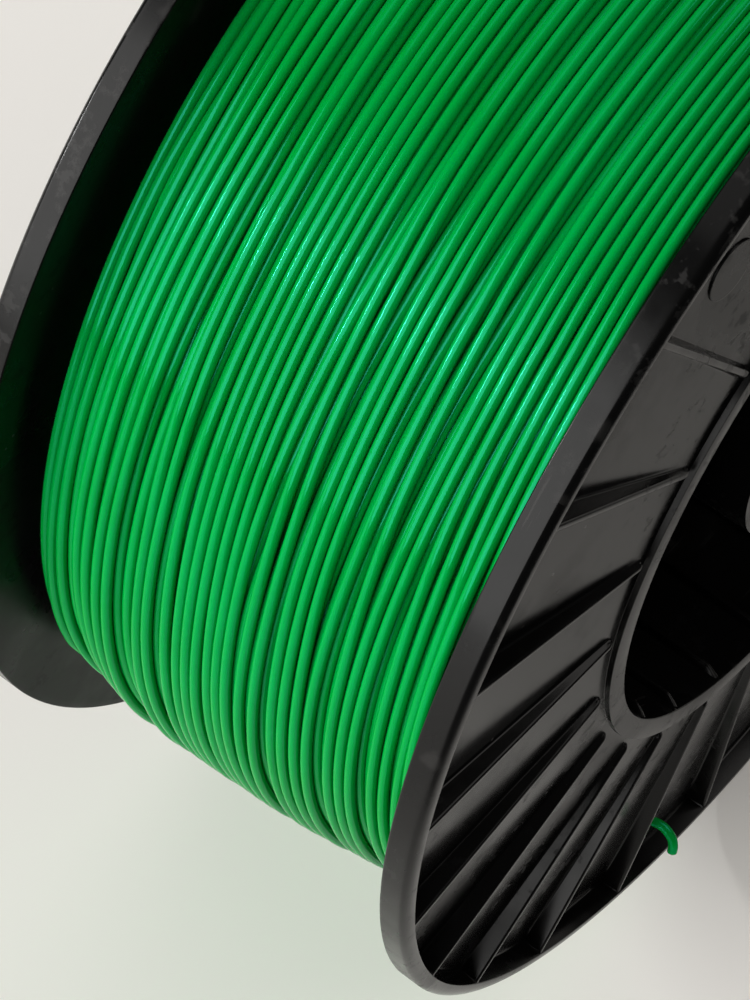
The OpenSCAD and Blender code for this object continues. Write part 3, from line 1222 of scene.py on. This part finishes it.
@dataclass(frozen=True)
class SoftBox:
    """One rectangular lamp that faces the spool."""

    name: str
    azimuth_deg: float
    elevation_deg: float
    distance: float
    width: float
    height: float
    watts: float
    colour: Triple

    def build(self) -> None:
        """Hangs the lamp, aimed at the spool."""
        azimuth, elevation = math.radians(self.azimuth_deg), math.radians(self.elevation_deg)
        place = self.distance * Vector((math.cos(elevation) * math.cos(azimuth),
                                        math.cos(elevation) * math.sin(azimuth), math.sin(elevation)))
        lamp = bpy.data.lights.new(self.name, "AREA")
        lamp.shape, lamp.size, lamp.size_y = "RECTANGLE", self.width, self.height
        lamp.energy, lamp.color = self.watts, self.colour
        holder = linked(self.name, lamp)
        holder.location = place
        holder.rotation_euler = (-place).to_track_quat("-Z", "Y").to_euler()


@dataclass
class Studio:
    """Pale floor, soft lamps and the camera."""

    sizes: SpoolSizes
    lens_mm: float = 132.06
    camera_place: Triple = (-2.4928, -1.5332, 4.3955)
    camera_right: Triple = (0.62343, -0.78188, 0.0)
    camera_up: Triple = (0.67855, 0.54104, 0.49684)
    floor_colour: Triple = (0.9, 0.88, 0.845)
    sky_colour: Triple = (0.9, 0.9, 0.9)
    sky_light: float = 0.06
    floor_reach: float = 6.0
    floor_front: float = 1.6

    def camera(self) -> None:
        """Places the camera, in flange radii from the middle of the bore."""
        data = bpy.data.cameras.new("camera")
        data.lens, data.sensor_width, data.sensor_fit = self.lens_mm, 36.0, "AUTO"
        data.clip_start, data.clip_end = 0.01, 50.0
        camera = linked("camera", data)
        right, up = Vector(self.camera_right), Vector(self.camera_up)
        back = right.cross(up).normalized()
        turn = Matrix((right, up, back)).transposed().to_4x4()
        place = Vector(self.camera_place) * self.sizes.flange_r * MM
        camera.matrix_world = Matrix.Translation(place) @ turn
        bpy.context.scene.camera = camera

    def floor(self) -> None:
        """Lays a wide floor under the rims."""
        size, front = self.floor_reach, self.floor_front * self.sizes.flange_r * MM
        mesh = bpy.data.meshes.new("floor")
        level = -self.sizes.flange_r * MM
        mesh.from_pydata([(-size, -front, level), (size, -front, level), (size, size, level),
                          (-size, size, level)], [], [(0, 1, 2, 3)])
        floor = linked("floor", mesh)
        material, sheet, shader, place = new_material("paper_floor")
        low = tuple(c * 0.97 for c in self.floor_colour)
        colour = sheet.blend(sheet.noise(place, 6.0, 2.0), (*low, 1), (*self.floor_colour, 1))
        sheet.tree.links.new(colour, shader.inputs["Base Color"])
        shader.inputs["Roughness"].default_value = 0.8
        shader.inputs["Specular IOR Level"].default_value = 0.2
        mesh.materials.append(material)

    def world(self) -> None:
        """Sets a pale sky that lights softly."""
        world = bpy.data.worlds.new("studio")
        world.use_nodes = True
        bpy.context.scene.world = world
        sheet = NodeSheet(world.node_tree)
        back = world.node_tree.nodes["Background"]
        path = sheet.add("ShaderNodeLightPath")
        level = sheet.spread(path.outputs["Is Camera Ray"], 0.0, 1.0, self.sky_light, 0.85)
        back.inputs["Color"].default_value = (*self.sky_colour, 1)
        sheet.tree.links.new(level, back.inputs["Strength"])

    def lamps(self) -> None:
        """Hangs a large key lamp, a low strip for the gloss, a top lamp and a warm fill."""
        boxes = (
            SoftBox("key", 165.0, 25.0, 1.8, 2.4, 1.6, 51.0, (1.0, 0.99, 0.97)),
            SoftBox("strip", 130.0, 19.0, 1.6, 0.4, 0.03, 7.0, (1.0, 1.0, 1.0)),
            SoftBox("top", 75.0, 65.0, 1.6, 1.4, 1.2, 4.6, (1.0, 0.98, 0.95)),
            SoftBox("fill", -45.0, 40.0, 1.8, 1.2, 1.0, 8.0, (1.0, 0.96, 0.92)),
        )
        for box in boxes:
            box.build()

    def build(self) -> None:
        """Sets up the whole studio."""
        self.camera()
        self.floor()
        self.world()
        self.lamps()
        bpy.context.scene.view_settings.view_transform = "Standard"


# ---- The spool ----

def main() -> None:
    """Builds the studio, then the spool from its hub outwards."""
    logging.basicConfig(level=logging.INFO, format="%(name)s: %(message)s")
    sizes = SpoolSizes.from_frame()
    Studio(sizes).build()
    effects = SharedEffects.build()
    plastic = MouldedPlastic("black_moulded_plastic").build(effects)
    matt = MouldedPlastic("black_plastic_inner_face", roughness=0.3, ior=1.17).build(effects)
    worn = MouldedPlastic("black_plastic_rim", colour=(0.002, 0.002, 0.002),
                          rubbed=(0.028, 0.027, 0.026), dull=(0.013, 0.0127, 0.0124),
                          ior=1.27, scuff_share=0.25).build(effects)
    filament = GreenFilament("green_filament_gloss").build()
    Hub().dress(MouldedPlastic("hub_moulded_plastic", colour=(0.002, 0.002, 0.002),
                               rubbed=(0.003, 0.003, 0.003), dust_share=0.0).build(effects))
    flanges = {side: Flange(sizes, side) for side in Side}
    pieces = [piece for flange in flanges.values() for piece in flange.build(plastic, matt, worn)]
    pieces += Winding(sizes).build(filament)
    pieces.append(FilamentEnd(sizes, flanges[Side.NEAR]).build(filament))
    for piece in pieces:
        LOG.info("%s: %d faces", piece.name, len(piece.data.polygons))


if __name__ == "__main__":
    main()
